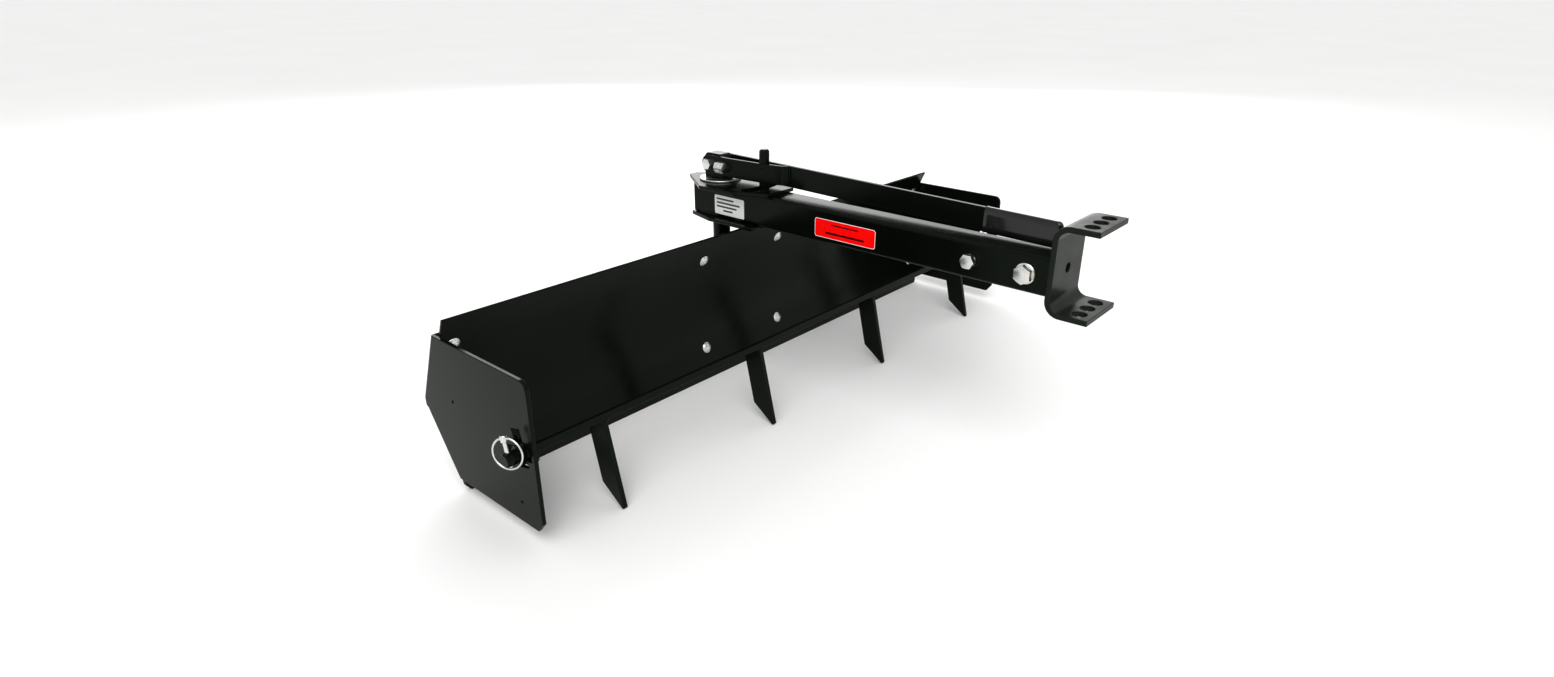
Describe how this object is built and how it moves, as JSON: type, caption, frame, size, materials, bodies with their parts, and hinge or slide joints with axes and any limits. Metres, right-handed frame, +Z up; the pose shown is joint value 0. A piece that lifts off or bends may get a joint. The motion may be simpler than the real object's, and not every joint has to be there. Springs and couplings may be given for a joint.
{
  "type": "box scraper",
  "caption": "Tow-behind grading box with a concave moldboard, end plates, scarifier shanks, a swinging drawbar with a latch lever, and a sleeve-hitch bracket.",
  "frame": {"origin": "on the ground under the middle of the scraper's footprint", "axes": "+X across the box to the right, +Y to the rear (the hitch is at -Y), +Z up"},
  "size_m": [1.0098, 0.627, 0.327],
  "materials": {
    "black_powder_coat": "gloss powder coat",
    "worn_black_paint": "satin powder coat",
    "grey_powder_coat": "satin powder coat",
    "zinc_plate": "bright zinc plate",
    "black_vinyl": "gloss dipped vinyl"
  },
  "bodies": {
    "box": {"moldboard": "black_powder_coat", "cutting_edge": "worn_black_paint", "end_plate_left": "black_powder_coat", "end_plate_right": "black_powder_coat", "corner_brackets": "black_powder_coat", "carriage_bolts": "zinc_plate", "carriage_washers": "zinc_plate", "carriage_nuts": "zinc_plate", "mast": "black_powder_coat", "post_brackets": "black_powder_coat", "pivot_post": "black_powder_coat", "post_collar": "zinc_plate", "pivot_washer": "zinc_plate", "fulcrum_block": "black_powder_coat"},
    "drawbar": {"drawbar_tube": "black_powder_coat", "pivot_sleeve": "black_powder_coat", "top_index_plate": "black_powder_coat", "bottom_index_plate": "black_powder_coat", "hitch_bracket": "grey_powder_coat", "hitch_tongue": "grey_powder_coat", "hitch_bolt_small": "zinc_plate", "hitch_bolt_large": "zinc_plate", "hitch_washers": "zinc_plate", "hitch_nuts": "zinc_plate"},
    "lever": {"lever_bar": "black_powder_coat", "lever_strap": "black_powder_coat", "lever_grip": "black_vinyl", "latch_pin": "black_powder_coat", "latch_block": "black_powder_coat", "fork_bolts": "zinc_plate", "fork_nuts": "zinc_plate"},
    "scarifier": {"scarifier_bar": "black_powder_coat", "shank_1": "black_powder_coat", "shank_2": "black_powder_coat", "shank_3": "black_powder_coat", "shank_4": "black_powder_coat", "bar_end_left": "black_powder_coat", "bar_end_right": "black_powder_coat", "lynch_pin_left": "zinc_plate", "lynch_pin_right": "zinc_plate"},
    "ring_left": {"lynch_ring_left": "zinc_plate"},
    "ring_right": {"lynch_ring_right": "zinc_plate"}
  },
  "joints": [
    {"name": "drawbar_swing", "type": "hinge", "parent": "box", "child": "drawbar", "pos_m": [0, 0.2565, 0.25], "axis": [0, 0, 1], "range_deg": [-22.5, 22.5]},
    {"name": "lever_lift", "type": "hinge", "parent": "box", "child": "lever", "pos_m": [0, 0.2665, 0.2965], "axis": [-1, 0, 0], "range_deg": [0, 16]},
    {"name": "scarifier_turn", "type": "hinge", "parent": "box", "child": "scarifier", "pos_m": [0, 0.07, 0.106], "axis": [-1, 0, 0], "range_deg": [0, 180]},
    {"name": "ring_left_open", "type": "hinge", "parent": "scarifier", "child": "ring_left", "pos_m": [-0.4966, 0.07514, 0.12739], "axis": [-0.4226, 0.8813, -0.2116], "range_deg": [0, 170]},
    {"name": "ring_right_open", "type": "hinge", "parent": "scarifier", "child": "ring_right", "pos_m": [0.4966, 0.07514, 0.12739], "axis": [-0.4226, -0.8813, 0.2116], "range_deg": [0, 170]}
  ]
}
